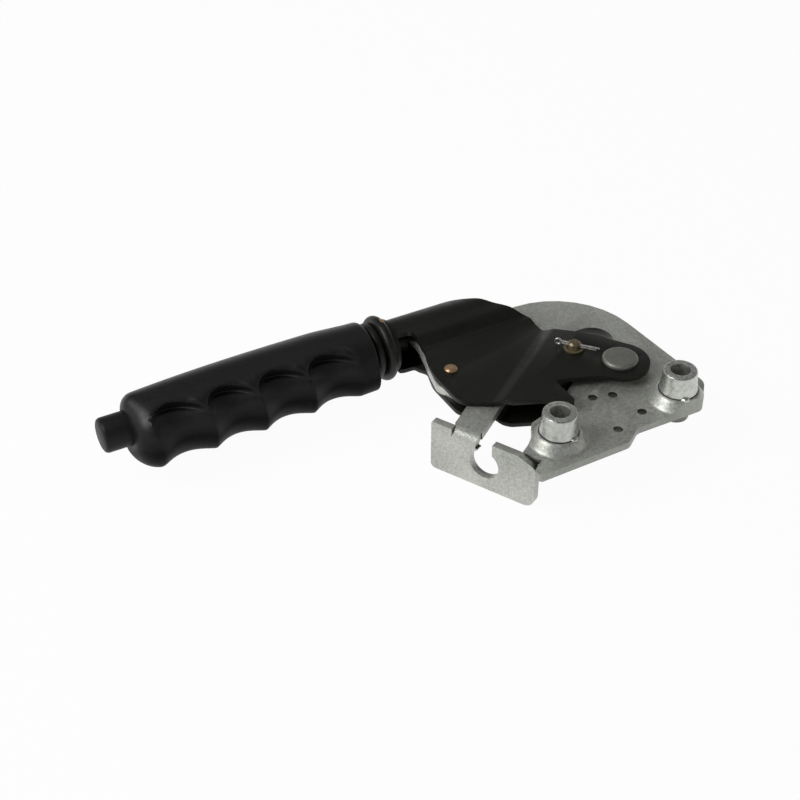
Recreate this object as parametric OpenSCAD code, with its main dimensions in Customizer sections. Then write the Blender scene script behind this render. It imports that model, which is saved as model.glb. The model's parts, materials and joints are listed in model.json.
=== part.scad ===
// Parking brake lever with a push-button release, lying as on a bench.
// A bolted base plate carries a toothed sector, the pivot and the cable anchor.
// The lever is a pressed channel whose two cheeks straddle the plate. A finger grip on a
// tube drives it, and a button in the end of the grip works the pawl through a push rod.
//
// Frame: +X runs along the row of bushes and along the handle axis, from the grip to the
// plate. +Z is the pivot axis. The origin is midway between the bushes, on their rims.

/* [Mounting bushes] */
// Distance between the two bush axes
bush_spacing = 60; // [56:1:66]
// Height of the bush rims above the plate
bush_rim_h = 15; // [13:0.5:20]
// Bore for the mounting bolt
bush_bore_d = 8.4; // [6:0.2:9]
// Diameter of the rim
bush_rim_d = 14.6; // [14:0.2:16]
// Diameter of the bush where it meets the dome
bush_seam_d = 16.6; // [15.6:0.2:18]
// Diameter of the tail that passes down through the dome
bush_tail_d = 11.6; // [11:0.2:13]
// How far the tail stands below the plate
bush_tail_drop = 5.8; // [1:0.2:7]

/* [Base plate] */
// Thickness of the plate
plate_t = 3.4; // [3:0.1:3.8]
// Height of the drawn domes under the bushes
dome_h = 5; // [3:0.1:6]
// Diameter of a dome at its foot
dome_d = 26.5; // [24:0.5:28]
// Small fixing holes
plate_hole_d = 4; // [2:0.2:5]
// From the bush row to the front edge by the left bush
front_edge_left = 15; // [14:0.1:17]
// From the bush row to the front edge by the right bush
front_edge_right = 9; // [8.6:0.1:12]
// From the right bush to the right edge
side_edge = 17; // [15:0.2:18]

/* [Pivot] */
// Pivot axis to the right of the middle of the bush row
pivot_x = 19.5; // [17:0.5:22]
// Pivot axis beyond the bush row
pivot_y = 28; // [27:0.5:31]
// Diameter of the pivot rivet
pivot_d = 10; // [8:0.5:11]
// Diameter of the rivet head
pivot_head_d = 15.6; // [14:0.2:17]
// Thickness of the rivet head
pivot_head_t = 2; // [1.4:0.1:3]
// Outer diameter of the spacers between plate and cheeks
spacer_d = 18; // [15:0.5:20]

/* [Ratchet] */
// Radius of the toothed sector about the pivot
sector_r = 67.6; // [66:0.1:68]
// Number of teeth
tooth_n = 12; // [6:6:12]
// Angle from tooth to tooth
tooth_pitch = 4; // [3.6:0.1:4]
// Depth of a tooth
tooth_depth = 1.9; // [1.4:0.1:2.2]
// Angle of the pawl nose about the pivot at rest
nose_angle = 165; // [164.5:0.1:165.5]

/* [Cable side] */
// Radius of the cable pin about the pivot
cable_r = 21.2; // [20.4:0.2:24]
// Angle of the cable pin about the pivot
cable_angle = 127.2; // [125:0.2:130]
// Diameter of the cable pin
cable_pin_d = 5.6; // [5:0.2:7]
// Inner radius of the curved slot that the cable pin travels in
slot_inner_r = 15; // [14:0.5:16]
// Outer radius of that slot
slot_outer_r = 33.5; // [32:0.5:34]
// Direction of the slot mouth, of the anchor strip and of the joggle in the cheeks
slot_angle = 36.5; // [36:0.1:37]
// Width of the anchor strip
strip_w = 13; // [11:0.5:14]
// Length of the bracket along its bend
bracket_w = 50.2; // [48:0.2:52]
// Height of the bracket
bracket_h = 24.4; // [21:0.2:26]
// Direction of the bracket seen from above
bracket_angle = -61.5; // [-63:0.5:-60]
// Diameter of the keyhole for the cable sheath
keyhole_d = 13.8; // [12:0.2:15]
// Width of the keyhole's mouth
keyhole_mouth = 7; // [5:0.5:9]
// Depth of the keyhole's centre below the top of the plate
keyhole_depth = 11.6; // [10:0.2:13]

/* [Lever] */
// Thickness of the lever sheet
sheet_t = 2; // [1.6:0.1:2.4]
// Space between the cheeks at the pawl
cheek_gap = 4.2; // [4:0.05:4.6]
// Space between the cheeks at the pivot
spread_gap = 9.8; // [9.2:0.2:11]
// Handle axis beyond the pivot
handle_offset = 65.6; // [64:0.2:67]
// Radius of the rounded back of the channel
back_r = 11; // [10.6:0.1:11.6]
// Radius of the lever's end round the pivot
arm_end_r = 13; // [11.5:0.5:14]
// Pawl rivet beyond the toothed edge
rivet_out = 5.8; // [5.4:0.1:6.4]
// Angle of the pawl rivet about the pivot
rivet_angle = 154; // [153.5:0.1:154.5]
// Diameter of the pawl rivet
rivet_d = 5.2; // [4:0.1:5.6]
// Diameter of its heads
rivet_head_d = 5.9; // [5.8:0.1:8]

/* [Grip] */
// Left end of the grip from the pivot
grip_left = 202.6; // [195:0.2:208]
// Right end of the grip from the pivot
grip_right = 90; // [89:0.1:91]
// Radius of the smooth back at the left end
grip_r = 12.6; // [12:0.2:14]
// Radius of the smooth back at the right end
grip_right_r = 14.4; // [13.4:0.2:15]
// How far the back bulges between its ends
grip_bulge = 1.7; // [0.4:0.1:2]
// Finger side moved towards the fingers
grip_shift = 3; // [2:0.2:4]
// Radius of the ridges between the fingers
ridge_r = 15.8; // [15:0.1:16.4]
// Depth of a finger groove
groove_depth = 4.4; // [2:0.1:5]
// Distance from ridge to ridge
finger_pitch = 23.2; // [21:0.2:24]
// First ridge from the left end
first_ridge = 9; // [8:0.1:12]

/* [Handle tube and release] */
// Outer radius of the handle tube
tube_r = 8.96; // [8.6:0.02:9]
// Inner radius of the handle tube
tube_bore_r = 7.75; // [7.7:0.05:8]
// Radius of the release button
button_r = 7.67; // [7.2:0.01:7.68]
// How far the button stands out of the grip
button_out = 11.5; // [9:0.5:14]
// Travel of the button
button_travel = 8; // [6:0.5:9]
// Diameter of the push rod
rod_d = 5; // [4:0.2:6]
// Diameter of the fork on the rod's end
fork_d = 10; // [9:0.2:12]
// Diameter of the fork's cross pin
fork_pin_d = 3.5; // [3:0.1:4]
// Outer radius of the round collar
collar_r = 12.8; // [12.4:0.1:13.4]
// Radius of the bead round the lock nut
nut_r = 14.9; // [13.8:0.1:15.6]

/* [Fits] */
// Clearance of flat faces that slide past each other
slip = 0.2; // [0.1:0.05:0.3]
// Radial clearance of a running fit
run_fit = 0.05; // [0.02:0.01:0.1]
// Radial room of pieces that are fixed in a hole
seat_fit = 0.03; // [0.02:0.01:0.06]
// Clearance between the pawl nose and the teeth
nose_fit = 0.3; // [0.2:0.05:0.4]

/* [Hidden] */
$fn = 64;
eps = 0.01;
zinc = [0.72, 0.73, 0.72];
black_paint = [0.11, 0.11, 0.1];
black_plastic = [0.08, 0.08, 0.085];
bright_steel = [0.8, 0.8, 0.8];
brass = [0.8, 0.65, 0.42];
yellow_zinc = [0.76, 0.6, 0.4];

// Everything below is drawn about the middle plane of the plate.
mid_z = -bush_rim_h - plate_t / 2;
plate_top = plate_t / 2;
rim_z = -mid_z;
bush_x = bush_spacing / 2;
pivot = [pivot_x, pivot_y];
handle_y = pivot_y + handle_offset;
rivet = pivot + polar(sector_r + rivet_out, rivet_angle);
cable_pin_at = pivot + polar(cable_r, cable_angle);
tight = cheek_gap / 2;
spread = spread_gap / 2;
bend_r = 1.2;

// Direction helpers, fillets and plain solids of revolution.
function polar(r, a) = r * [cos(a), sin(a)];
function fillet(a, b, c, r, n = 8) =
    let (
        u = (a - b) / norm(a - b),
        v = (c - b) / norm(c - b),
        half = acos(u * v) / 2,
        centre = b + (u + v) / norm(u + v) * r / sin(half),
        start = b + u * r / tan(half) - centre,
        stop = b + v * r / tan(half) - centre,
        from = atan2(start.y, start.x),
        turn = (atan2(stop.y, stop.x) - from + 540) % 360 - 180
    )
    [for (i = [0 : n]) centre + polar(r, from + turn * i / n)];
// Outline through [x, y, corner radius] points.
function rounded(points) =
    let (n = len(points), at = function (i) [points[i % n].x, points[i % n].y])
    [for (i = [0 : n - 1])
        each points[i].z == 0
            ? [at(i)]
            : fillet(at(i + n - 1), at(i), at(i + 1), points[i].z)];

module at_mid() {
    translate([0, 0, mid_z]) children();
}

module at_pivot() {
    translate(pivot) children();
}

// A revolved outline of [radius, distance along the handle from the pivot].
module along_handle(turn = 0) {
    translate([pivot_x, handle_y, 0])
        rotate([turn, 0, 0])
        rotate([0, 90, 0])
        children();
}

module tube(inner, outer, from, to) {
    translate([0, 0, from])
        difference() {
            cylinder(r = outer, h = to - from);
            translate([0, 0, -eps]) cylinder(r = inner, h = to - from + 2 * eps);
        }
}

// Base plate: outline, toothed sector, cable slot, domes, strip and cable anchor.

// Corners of the plate as [x, y, radius], from the step in the front edge round to the left.
plate_step_x = -0.5;
plate_corners = [
    [plate_step_x + 4, -front_edge_right, 5],
    [bush_x + 7, -front_edge_right, 5],
    [bush_x + side_edge, 3.4, 7],
    [bush_x + 10.2, pivot_y + 62.6, 38],
    [pivot_x - 25.5, pivot_y + 62.6, 0],
    [pivot_x - 22, pivot_y + 29.5, 0],
    [pivot_x - 8.8, pivot_y + 12.1, 0],
    [-17.5, 19.4, 8],
    [-bush_x - 4, 14.6, 5],
    [-bush_x - 9.3, 5.4, 6],
    [-bush_x - 16.9, 0.2, 0.6],
    [-bush_x - 12.4, -7.5, 0.4],
    [-bush_x - 18.4, -11.8, 1],
    [-bush_x - 18.6, -front_edge_left - 1.1, 1.5],
    [plate_step_x - 4, -front_edge_left, 5]
];
plate_holes = [[-1.6, 17], [7, 14.6], [11.3, -0.9], [-4.2, -5.9]];

// Teeth as shares of the pitch, counted from a gap: steep flank, land, then the ramp.
gap_half = 0.075;
steep_lean = tooth_depth * tan(26) / sector_r * 180 / PI / tooth_pitch;
land = 0.09;
root_r = sector_r - tooth_depth;
sector_end = nose_angle + 3;
plain_end = nose_angle - tooth_n * tooth_pitch - 7;
function gap_angle(k) = nose_angle - k * tooth_pitch;
teeth = [for (k = [0 : tooth_n - 1])
    let (next = gap_angle(k + 1))
    each [
        polar(root_r, gap_angle(k) - gap_half * tooth_pitch),
        polar(sector_r, next + (gap_half + steep_lean + land) * tooth_pitch),
        polar(sector_r, next + (gap_half + steep_lean) * tooth_pitch),
        polar(root_r, next + gap_half * tooth_pitch)
    ]];
last_gap = gap_angle(tooth_n);
sector_outline = concat(
    [[0, 0]],
    [for (i = [0 : 3]) polar(root_r, sector_end + (nose_angle - sector_end) * i / 4)],
    teeth,
    [polar(root_r, last_gap - gap_half * tooth_pitch)],
    [for (i = [0 : 4])
        polar(sector_r, last_gap - 0.65 * tooth_pitch
            + (plain_end - last_gap + 0.65 * tooth_pitch) * i / 4)]
);

// The strip lies between two lines at these distances from the pivot.
strip_inner = slot_outer_r + 3.3;
strip_outer = strip_inner + strip_w;
bracket_in = polar(1, bracket_angle + 90);
bracket_start = [-bush_x - 39.9, 35.5];

module along_slot() {
    at_pivot() rotate(slot_angle) children();
}

module sector_shape() {
    intersection() {
        at_pivot() polygon(sector_outline);
        along_slot() translate([-2 * sector_r, strip_inner]) square([4 * sector_r, sector_r]);
    }
}

// Curved part of the cable slot, with a round end where the pin stops.
slot_mid_r = (slot_inner_r + slot_outer_r) / 2;
slot_end_angle = cable_angle - tooth_n * tooth_pitch + 5;
module cable_slot_shape() {
    at_pivot() {
        intersection() {
            difference() {
                circle(r = slot_outer_r, $fn = 96);
                circle(r = slot_inner_r, $fn = 96);
            }
            polygon([[0, 0], polar(90, slot_end_angle), polar(90, slot_angle + 90),
                polar(90, slot_angle + 95)]);
        }
        translate(polar(slot_mid_r, slot_end_angle)) circle(d = slot_outer_r - slot_inner_r);
    }
}

// The strip ends in small shoulders just before the bend.
bend_run = bend_r + plate_t;
shoulder = 0.5;
module strip_shape() {
    difference() {
        along_slot() translate([-95, strip_inner]) square([60, strip_w]);
        translate(bracket_start + (bend_run + 0.2) * bracket_in)
            rotate(bracket_angle)
            translate([-60, -60])
            square([180, 60]);
    }
}

module plate_shape() {
    difference() {
        union() {
            polygon(rounded(plate_corners));
            sector_shape();
        }
        cable_slot_shape();
        for (p = plate_holes) translate(p) circle(d = plate_hole_d);
        at_pivot() circle(r = pivot_d / 2 + seat_fit);
    }
    strip_shape();
}

// Drawn dome: an S-shaped flank, the same above and below the sheet.
dome_flank = [for (i = [0 : 8])
    [bush_seam_d / 2 + (dome_d - bush_seam_d) / 2 * i / 8, dome_h * (1 + cos(180 * i / 8)) / 2]];
module dome_body() {
    rotate_extrude()
        polygon(concat([[0, -plate_top]], [[0, plate_top + dome_h]],
            [for (p = dome_flank) [p.x, p.y + plate_top]], [[dome_d / 2, -plate_top]]));
}

module dome_hollow() {
    rotate_extrude()
        polygon(concat([[0, -plate_top - 1]], [[0, dome_h - plate_top]],
            [for (p = dome_flank) [p.x, p.y - plate_top]], [[dome_d / 2, -plate_top - 1]]));
}

// Bracket drawn flat in its own plane: x along the bend, y up from the bracket's foot.
keyhole_at = [bracket_w / 2 + 0.9, -keyhole_depth];
module bracket_shape() {
    polygon(rounded([
        [0, 0, 0.8], [0, -bracket_h, 2.5], [bracket_w, -bracket_h, 5], [bracket_w, -3.4, 3],
        [bracket_w - 8.5, 0, 3]
    ]));
}

module keyhole_shape() {
    translate(keyhole_at) {
        circle(d = keyhole_d);
        translate([-keyhole_mouth / 2, 0]) square([keyhole_mouth, keyhole_depth + 1]);
    }
}

// Where the strip's edges cross the bend, measured along the bracket.
bend_skew = slot_angle - bracket_angle - 90;
strip_cross = strip_w / cos(bend_skew);
bracket_to_pivot = pivot - bracket_start - bend_run * bracket_in;
strip_far = (bracket_to_pivot * polar(1, slot_angle + 90) + strip_outer)
    / (polar(1, bracket_angle) * polar(1, slot_angle + 90));
// Section of the bent tongue that joins strip and bracket, drawn from the bracket's outer face.
tongue_leg = bend_run + 3.6;
tongue_section = concat(
    [[bend_run + 2.2, 0]],
    [for (i = [0 : 8]) [bend_run, -bend_run] + polar(bend_run, 90 + 11.25 * i)],
    [[0, -tongue_leg], [plate_t, -tongue_leg]],
    [for (i = [8 : -1 : 0]) [bend_run, -bend_run] + polar(bend_r, 90 + 11.25 * i)],
    [[bend_run + 2.2, -plate_t]]
);
module anchor_bracket() {
    lap = 0.6;
    translate([bracket_start.x, bracket_start.y, plate_top])
        rotate([0, 0, bracket_angle])
        difference() {
            union() {
                translate([0, plate_t, 0])
                    rotate([90, 0, 0])
                    linear_extrude(plate_t)
                    difference() {
                        bracket_shape();
                        translate([strip_far + shoulder + lap, -bend_run - lap])
                            square([keyhole_at.x - strip_far - shoulder - lap, bend_run + 2]);
                    }
                translate([strip_far + shoulder, 0, 0])
                    rotate([90, 0, 90])
                    linear_extrude(strip_cross - 2 * shoulder)
                    polygon(tongue_section);
            }
            translate([0, plate_t + 1, 0])
                rotate([90, 0, 0])
                linear_extrude(plate_t + 2)
                keyhole_shape();
        }
}

// The hollows under the domes stop short of the plate's cut edge.
edge_wall = 1.8;
module base_plate() {
    color(zinc) at_mid() {
        difference() {
            union() {
                translate([0, 0, -plate_top]) linear_extrude(plate_t) plate_shape();
                intersection() {
                    for (s = [-1, 1]) translate([s * bush_x, 0, 0]) dome_body();
                    translate([0, 0, -plate_top])
                        linear_extrude(plate_t + dome_h)
                        polygon(rounded(plate_corners));
                }
            }
            for (s = [-1, 1]) {
                intersection() {
                    translate([s * bush_x, 0, 0]) dome_hollow();
                    translate([-s * edge_wall, edge_wall, -plate_top - 1])
                        linear_extrude(plate_t + dome_h + 1)
                        polygon(rounded(plate_corners));
                }
                translate([s * bush_x, 0, 0]) cylinder(r = bush_tail_d / 2 + seat_fit, h = rim_z);
            }
        }
        anchor_bracket();
    }
}

// Bushes staked in the domes.
bush_seat = plate_top + dome_h;
bush_foot = -plate_top - bush_tail_drop;
module bush() {
    color(zinc) at_mid()
        rotate_extrude()
        polygon([
            [bush_bore_d / 2, bush_foot],
            [bush_tail_d / 2, bush_foot],
            [bush_tail_d / 2, bush_seat],
            [bush_seam_d / 2, bush_seat],
            [bush_seam_d / 2 - 0.3, bush_seat + 1.6],
            [bush_rim_d / 2, rim_z - 0.6],
            [bush_rim_d / 2 - 0.5, rim_z],
            [bush_bore_d / 2, rim_z]
        ]);
}

module left_bush() {
    translate([-bush_x, 0, 0]) bush();
}

module right_bush() {
    translate([bush_x, 0, 0]) bush();
}

// Pivot: a headed rivet with a spacer on each side of the plate.
arm_top = spread + sheet_t;
head_seat = arm_top + slip / 2;
module pivot_rivet() {
    color(zinc) at_mid() at_pivot()
        rotate_extrude()
        polygon([
            [0, -head_seat - pivot_head_t],
            [pivot_head_d / 2 - 1.4, -head_seat - pivot_head_t],
            [pivot_head_d / 2 - 0.4, -head_seat - pivot_head_t / 2],
            [pivot_head_d / 2 - 0.4, -head_seat],
            [pivot_d / 2, -head_seat],
            [pivot_d / 2, head_seat],
            [pivot_head_d / 2, head_seat],
            [pivot_head_d / 2, head_seat + pivot_head_t - 0.7],
            [pivot_head_d / 2 - 0.9, head_seat + pivot_head_t],
            [0, head_seat + pivot_head_t]
        ]);
}

module spacer() {
    color(bright_steel) at_mid() at_pivot()
        tube(pivot_d / 2 + seat_fit, spacer_d / 2, plate_top, spread - slip / 2);
}

module upper_spacer() {
    spacer();
}

module lower_spacer() {
    translate([0, 0, 2 * mid_z]) mirror([0, 0, 1]) spacer();
}

// Lever: one outline for both cheeks and the rounded back, as [x, y, radius] from the pivot.
neck_edge = handle_offset - 6.8;
back_edge = handle_offset + back_r + 1;
neck_in_grip = 6;
neck_left = -grip_right - neck_in_grip;
arm_from = 226;
arm_turn = 173;
arm_steps = 20;
lever_corners = concat(
    [
        [neck_left, neck_edge, 0],
        [-sector_r - 3.6, neck_edge, 3],
        [-sector_r - 2.3, 49, 8],
        [-sector_r - 6.8, 33, 20],
        [-sector_r - 6.4, 10.5, 8],
        [-sector_r + 6.1, 3, 5],
        [-56.3, -2.8, 4],
        [-43.5, -8.2, 12],
        [-35, -17, 2.5],
        [-32.2, -13.5, 2.5],
        [-32.9, 1.4, 1.5],
        [-25, -0.9, 6],
        [-13.8, -4.9, 5]
    ],
    [for (i = [0 : arm_steps])
        let (p = polar(arm_end_r, arm_from + arm_turn * i / arm_steps))
        [p.x, p.y, 0]],
    [
        [4.3, 16, 20],
        [-3.8, 26.2, 25],
        [-15.7, 36, 5],
        [-15.9, 48.8, 6],
        [-33, 65, 14],
        [-50, 73.6, 0],
        [-52, back_edge, 0],
        [neck_left, back_edge, 0]
    ]
);

// The window in the neck is cut in the upper cheek; the lower one reaches further down.
lower_neck_corners = [
    [neck_left, neck_edge + 2, 0],
    [neck_left, neck_edge - 1.2, 0],
    [-sector_r - 12.9, neck_edge - 1.2, 4],
    [-sector_r - 7, 52, 6],
    [-sector_r - 4.6, 44, 6],
    [-sector_r - 2.9, 36, 0],
    [-sector_r + 7.6, 36, 0],
    [-sector_r + 7.6, neck_edge + 2, 0]
];

// Joggle: cheeks close together at the pawl, apart at the pivot. Half heights across the slot.
joggle_at = 36.5;
joggle_run = 3;
joggle_skew = sheet_t * tan(atan2(spread - tight, joggle_run) / 2);
module cheek_fill(thick, skew) {
    half = [
        [-60, spread + thick], [joggle_at + skew, spread + thick],
        [joggle_at + joggle_run + skew, tight + thick], [120, tight + thick]
    ];
    difference() {
        rotate([0, 0, slot_angle])
            translate([-120, 0, 0])
            rotate([90, 0, 90])
            linear_extrude(200)
            polygon(concat(half, [for (i = [3 : -1 : 0]) [half[i].x, -half[i].y]]));
        translate([-200, handle_offset - back_r / 2, -20]) cube([400, 200, 40]);
    }
}

// Back of the channel: a round back that tapers to the cheeks through a shallow ledge.
ledge_from = 18.6;
crease_from = 22.2;
ledge_rise = 0.9;
back_steps = 40;
function back_outline(r, z) =
    let (
        ledge = [-ledge_from, z + ledge_rise],
        foot = [ledge_from - 2 * crease_from, z - ledge_rise],
        sweep = atan2(ledge.y, ledge.x) - acos(r / norm(ledge))
    )
    concat(
        [for (i = [0 : back_steps]) polar(r, sweep * (1 - 2 * i / back_steps))],
        [[ledge.x, -ledge.y], [foot.x, -foot.y], foot, ledge]
    );
module back_fill(thick) {
    translate([-110, handle_offset, 0])
        rotate([90, 0, 90])
        linear_extrude(120)
        polygon(back_outline(back_r - sheet_t + thick, tight + thick));
}

module lever_channel() {
    color(black_paint) at_mid() at_pivot()
        difference() {
            intersection() {
                union() {
                    translate([0, 0, -20]) linear_extrude(40) polygon(rounded(lever_corners));
                    translate([0, 0, -20]) linear_extrude(20) polygon(rounded(lower_neck_corners));
                }
                union() {
                    cheek_fill(sheet_t, joggle_skew);
                    back_fill(sheet_t);
                }
            }
            cheek_fill(0, 0);
            back_fill(0);
            translate([0, handle_offset, 0])
                rotate([0, 90, 0])
                tube(back_r + seat_fit, back_r + 6, neck_left - 1, nut_left + nut_w + slip);
            cylinder(d = pivot_d + 2 * run_fit, h = 40, center = true);
            translate(rivet - pivot) cylinder(r = rivet_d / 2 + seat_fit, h = 40, center = true);
            translate(cable_pin_at - pivot)
                cylinder(r = cable_pin_d / 2 + seat_fit, h = 40, center = true);
        }
}

// The pawl's arm meets the fork, and the tube ends a little short of the fork.
arm_lean = 1;
arm_end = [arm_lean, handle_y - rivet.y];
fork_z = rivet.x + arm_end.x - pivot_x;
fork_back = 12;
guide_gap = 3;

// Handle tube, grip, and the collar and lock nut on the channel's neck.
tube_inset = 5;
tube_left = -grip_left + tube_inset;
tube_right = fork_z - fork_back - guide_gap;
module handle_tube() {
    color(bright_steel) at_mid() along_handle()
        tube(tube_bore_r, tube_r, tube_left, tube_right);
}

// Finger side of the grip: ridges that grow towards the end, parabolic grooves between.
ridge_growth = 2;
ridge_count = 5;
groove_steps = 8;
ridge_span = (ridge_count - 1) * finger_pitch;
function ridge_z(k) = -grip_left + first_ridge + k * finger_pitch;
function ridge_radius(z) =
    ridge_r + ridge_growth * (ridge_z(ridge_count - 1) - z) / ridge_span;
grip_end_round = first_ridge - 0.4;
finger_profile = concat(
    [[0, -grip_left]],
    [for (i = [0 : 4])
        [ridge_radius(-grip_left) - grip_end_round * (1 - sin(22.5 * i)),
         -grip_left + grip_end_round * (1 - cos(22.5 * i))]],
    [for (k = [0 : ridge_count - 2], i = [0 : groove_steps - 1])
        let (u = i / groove_steps, z = ridge_z(k) + u * finger_pitch)
        [ridge_radius(z) - groove_depth * (1 - pow(2 * u - 1, 2)), z]],
    [[ridge_r, ridge_z(ridge_count - 1)], [ridge_r - 0.9, -grip_right - 5],
     [ridge_r - 0.6, -grip_right - 1.2], [ridge_r - 1.6, -grip_right], [0, -grip_right]]
);
back_end_round = 6;
back_right_round = 2.6;
bulge_steps = 12;
function back_radius(u) = grip_r + (grip_right_r - grip_r) * u + grip_bulge * 4 * u * (1 - u);
bulge_from = -grip_left + back_end_round;
bulge_to = -grip_right - back_right_round;
back_profile = concat(
    [[0, -grip_left]],
    [for (i = [0 : 3])
        [grip_r - back_end_round * (1 - sin(22.5 * i)),
         -grip_left + back_end_round * (1 - cos(22.5 * i))]],
    [for (i = [0 : bulge_steps])
        let (u = i / bulge_steps)
        [back_radius(u), bulge_from + (bulge_to - bulge_from) * u]],
    [for (i = [1 : 4])
        [grip_right_r - back_right_round * (1 - cos(22.5 * i)),
         bulge_to + back_right_round * sin(22.5 * i)]],
    [[0, -grip_right]]
);
module grip() {
    color(black_plastic) at_mid()
        difference() {
            union() {
                along_handle() rotate_extrude() polygon(back_profile);
                translate([0, -grip_shift, 0]) along_handle() rotate_extrude() polygon(finger_profile);
            }
            along_handle() {
                translate([0, 0, tube_left]) cylinder(r = tube_r + seat_fit, h = grip_left);
                translate([0, 0, -grip_left - 1]) cylinder(r = button_r + slip, h = tube_inset + 2);
                translate([0, 0, neck_left - slip])
                    cylinder(r = back_r + 2 * seat_fit, h = 2 * neck_in_grip);
            }
        }
}

// The collar follows the grip, the nut follows the collar.
collar_w = 4.2;
nut_w = 7;
collar_left = -grip_right + slip;
nut_left = collar_left + collar_w;
module grip_collar() {
    color(black_paint) at_mid() along_handle()
        rotate_extrude()
        polygon(concat(
            [[back_r + 2 * seat_fit, collar_left]],
            [for (i = [0 : 6])
                [collar_r - 1.6 * (1 - sin(30 * i)), collar_left + collar_w / 2 * (1 - cos(30 * i))]],
            [[back_r + 2 * seat_fit, collar_left + collar_w]]
        ));
}

// Round nut: a beaded rim and a plain flange towards the neck.
module lock_nut() {
    bead_w = 4.8;
    flange_r = collar_r - 0.5;
    bead = nut_r - flange_r;
    color(black_paint) at_mid() along_handle()
        rotate_extrude()
        polygon(concat(
            [[back_r + 2 * seat_fit, nut_left]],
            [for (i = [0 : 8])
                [flange_r + bead * pow(sin(22.5 * i), 0.8),
                 nut_left + bead_w * (1 - cos(22.5 * i)) / 2]],
            [[flange_r, nut_left + nut_w], [back_r + 2 * seat_fit, nut_left + nut_w]]
        ));
}

// Inside the tube: a guide for the rod at the neck, and the spring's fixed seat.
guide_len = 10;
module rod_guide() {
    color(black_plastic) at_mid() along_handle()
        tube(rod_d / 2 + run_fit, tube_bore_r - seat_fit, tube_right - guide_len, tube_right);
}

spring_room = 34;
seat_left = -grip_left + spring_room;
seat_len = 4;
module spring_seat() {
    color(bright_steel) at_mid() along_handle()
        tube(rod_d / 2 + slip, tube_bore_r - seat_fit, seat_left, seat_left + seat_len);
}

// Pawl rivet with a domed head on each cheek.
rivet_head_t = 1.3;
cheek_top = tight + sheet_t;
module pawl_rivet() {
    color(brass) at_mid() translate(rivet)
        rotate_extrude()
        polygon([
            [0, -cheek_top - rivet_head_t], [rivet_head_d / 2 - 0.8, -cheek_top - rivet_head_t],
            [rivet_head_d / 2, -cheek_top - rivet_head_t / 2], [rivet_head_d / 2, -cheek_top],
            [rivet_d / 2, -cheek_top], [rivet_d / 2, cheek_top],
            [rivet_head_d / 2, cheek_top], [rivet_head_d / 2, cheek_top + rivet_head_t / 2],
            [rivet_head_d / 2 - 0.8, cheek_top + rivet_head_t], [0, cheek_top + rivet_head_t]
        ]);
}

// Cable pin: headed below, held above by a washer and a split pin.
pin_head_d = 9;
pin_head_t = 2;
pin_end_z = arm_top + 3.6;
washer_t = 0.8;
washer_d = 9.2;
split_z = arm_top + washer_t + 1.2;
split_angle = -48.6;
wire_r = 0.5;
split_hole_r = 2 * wire_r;
module cable_pin() {
    chamfer = 0.8;
    color(yellow_zinc) at_mid() translate(cable_pin_at)
        difference() {
            rotate_extrude()
                polygon([
                    [0, -arm_top - pin_head_t], [pin_head_d / 2 - 0.6, -arm_top - pin_head_t],
                    [pin_head_d / 2, -arm_top - pin_head_t + 0.6], [pin_head_d / 2, -arm_top],
                    [cable_pin_d / 2, -arm_top], [cable_pin_d / 2, pin_end_z - chamfer],
                    [cable_pin_d / 2 - chamfer, pin_end_z], [0, pin_end_z]
                ]);
            translate([0, 0, split_z])
                rotate([0, 90, split_angle])
                cylinder(r = split_hole_r, h = 20, center = true);
        }
}

module cable_pin_washer() {
    color(yellow_zinc) at_mid() translate(cable_pin_at)
        tube(cable_pin_d / 2 + slip, washer_d / 2, arm_top, arm_top + washer_t);
}

module split_pin() {
    eye_r = 1.3;
    leg_from = -6.4;
    leg_to = [11.4, 10];
    leg_r = wire_r - 0.07;
    color(bright_steel) at_mid()
        translate([cable_pin_at.x, cable_pin_at.y, split_z])
        rotate([90, 0, split_angle]) {
            translate([leg_from - eye_r + wire_r, 0, 0])
                rotate_extrude()
                translate([eye_r, 0])
                circle(r = wire_r);
            for (i = [0, 1])
                translate([leg_from, (1 - 2 * i) * wire_r, 0])
                rotate([0, 90, 0])
                cylinder(r = leg_r, h = leg_to[i] - leg_from);
        }
}

// Pawl: nose in the teeth, hub on the rivet, arm up to the push rod.
pawl_t = cheek_gap - 2 * slip;
arm_end_round = 3.6;
// Nose by radius and distance round the sector, with the pawl's inner edge kept off the teeth.
nose_tip_r = root_r + nose_fit;
nose_back_r = sector_r + 2 * nose_fit;
nose_rise = nose_back_r - nose_tip_r;
ramp_slope = 1.4;
ramp_foot = 0.15 + nose_rise * ramp_slope;
inner_edge_from = rivet_angle - 2.5;
inner_edge_to = nose_angle - ramp_foot / nose_back_r * 180 / PI;
function on_sector(r, s) = rivet_rel(polar(r, nose_angle - s / r * 180 / PI));
function rivet_rel(p) = p + pivot - rivet;
function sharp(p) = [p.x, p.y, 0];
pawl_corners = concat(
    [for (i = [0 : 8])
        sharp(rivet_rel(polar(nose_back_r, inner_edge_from
            + (inner_edge_to - inner_edge_from) * i / 8)))],
    [
        sharp(on_sector(nose_tip_r, 0.15)),
        sharp(on_sector(nose_tip_r, -0.15)),
        sharp(on_sector(nose_back_r, -0.15 - nose_rise * tan(24))),
        [-5.4, -12.8, 3],
        [-9.4, -4.6, 7],
        [-7.2, 5.5, 14],
        [arm_end.x - arm_end_round, 24, 12],
        [arm_end.x - arm_end_round, arm_end.y + arm_end_round, arm_end_round - eps],
        [arm_end.x + arm_end_round, arm_end.y + arm_end_round, arm_end_round - eps],
        [arm_end.x + arm_end_round + 0.8, 22, 12],
        [6.5, 6, 4]
    ]
);
slot_play = 0.15;
slot_reach = 1.1;
slot_half = fork_pin_d / 2 + slot_play;
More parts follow.
